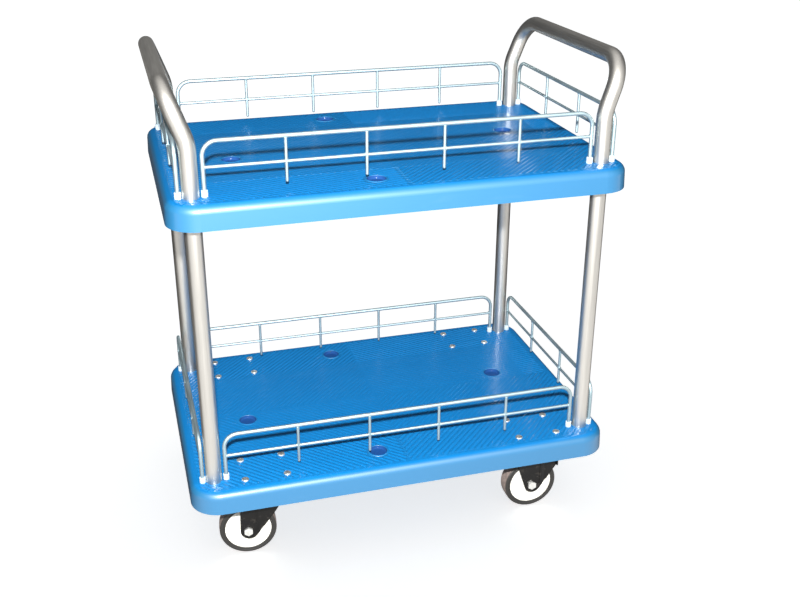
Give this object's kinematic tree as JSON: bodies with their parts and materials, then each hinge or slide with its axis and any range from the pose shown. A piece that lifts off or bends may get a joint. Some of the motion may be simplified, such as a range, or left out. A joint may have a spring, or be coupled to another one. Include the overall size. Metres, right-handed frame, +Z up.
{
  "type": "two tier platform trolley",
  "caption": "Two-tier platform trolley: moulded blue decks with wire guard rails on two bent tube hoops with leaning push handles, swivel casters at one end and fixed casters at the other.",
  "frame": {"origin": "on the floor, under the middle of the decks", "axes": "+X along the long side towards the fixed casters, +Y from front to back, +Z up"},
  "size_m": [0.901, 0.6, 1.011],
  "materials": {
    "deck_plastic": "moulded polypropylene, glossy, sky blue",
    "stainless_tube": "satin stainless steel tube",
    "rail_wire": "bright plated steel wire",
    "collar_plastic": "pale moulded nylon",
    "zinc_bolts": "bright zinc plated steel",
    "fork_enamel": "black stoved enamel on pressed steel",
    "hub_plastic": "moulded polypropylene, off-white",
    "tyre_rubber": "dark grey thermoplastic rubber, dusty tread",
    "bush_nylon": "natural nylon bearing",
    "ball_steel": "hardened steel balls",
    "seal_plastic": "black moulded dust ring"
  },
  "bodies": {
    "frame": {"axle_back_right": "zinc_bolts", "axle_front_right": "zinc_bolts", "axle_nut_back_right": "zinc_bolts", "axle_nut_front_right": "zinc_bolts", "caster_bolts": "zinc_bolts", "caster_nuts": "zinc_bolts", "caster_washers": "zinc_bolts", "hoop_cross_bolts": "zinc_bolts", "hoop_cross_nuts": "zinc_bolts", "kingpin_back_left": "zinc_bolts", "kingpin_front_left": "zinc_bolts", "left_hoop": "stainless_tube", "lower_back_rail": "rail_wire", "lower_deck": "deck_plastic", "lower_front_rail": "rail_wire", "lower_left_rail": "rail_wire", "lower_rail_collars": "collar_plastic", "lower_right_rail": "rail_wire", "right_hoop": "stainless_tube", "rigid_fork_back_right": "fork_enamel", "rigid_fork_front_right": "fork_enamel", "rigid_plate_back_right": "fork_enamel", "rigid_plate_front_right": "fork_enamel", "spacer_back_right": "zinc_bolts", "spacer_front_right": "zinc_bolts", "swivel_plate_back_left": "fork_enamel", "swivel_plate_front_left": "fork_enamel", "upper_back_rail": "rail_wire", "upper_deck": "deck_plastic", "upper_front_rail": "rail_wire", "upper_left_rail": "rail_wire", "upper_rail_collars": "collar_plastic", "upper_right_rail": "rail_wire"},
    "swivel_front_left": {"axle_front_left": "zinc_bolts", "axle_nut_front_left": "zinc_bolts", "spacer_front_left": "zinc_bolts", "swivel_balls_front_left": "ball_steel", "swivel_fork_front_left": "fork_enamel", "swivel_seal_front_left": "seal_plastic"},
    "wheel_front_left": {"bush_front_left": "bush_nylon", "hub_front_left": "hub_plastic", "tyre_front_left": "tyre_rubber"},
    "swivel_back_left": {"axle_back_left": "zinc_bolts", "axle_nut_back_left": "zinc_bolts", "spacer_back_left": "zinc_bolts", "swivel_balls_back_left": "ball_steel", "swivel_fork_back_left": "fork_enamel", "swivel_seal_back_left": "seal_plastic"},
    "wheel_back_left": {"bush_back_left": "bush_nylon", "hub_back_left": "hub_plastic", "tyre_back_left": "tyre_rubber"},
    "wheel_front_right": {"bush_front_right": "bush_nylon", "hub_front_right": "hub_plastic", "tyre_front_right": "tyre_rubber"},
    "wheel_back_right": {"bush_back_right": "bush_nylon", "hub_back_right": "hub_plastic", "tyre_back_right": "tyre_rubber"}
  },
  "joints": [
    {"name": "swivel_front_left", "type": "hinge", "parent": "frame", "child": "swivel_front_left", "pos_m": [-0.296, -0.2235, 0.1335], "axis": [0, 0, 1], "continuous": true},
    {"name": "wheel_front_left", "type": "hinge", "parent": "swivel_front_left", "child": "wheel_front_left", "pos_m": [-0.33585, -0.22001, 0.06], "axis": [0.0872, 0.9962, 0], "continuous": true},
    {"name": "swivel_back_left", "type": "hinge", "parent": "frame", "child": "swivel_back_left", "pos_m": [-0.296, 0.2235, 0.1335], "axis": [0, 0, 1], "continuous": true},
    {"name": "wheel_back_left", "type": "hinge", "parent": "swivel_back_left", "child": "wheel_back_left", "pos_m": [-0.336, 0.2235, 0.06], "axis": [0, 1, 0], "continuous": true},
    {"name": "wheel_front_right", "type": "hinge", "parent": "frame", "child": "wheel_front_right", "pos_m": [0.296, -0.2235, 0.06], "axis": [0, 1, 0], "continuous": true},
    {"name": "wheel_back_right", "type": "hinge", "parent": "frame", "child": "wheel_back_right", "pos_m": [0.296, 0.2235, 0.06], "axis": [0, 1, 0], "continuous": true}
  ]
}
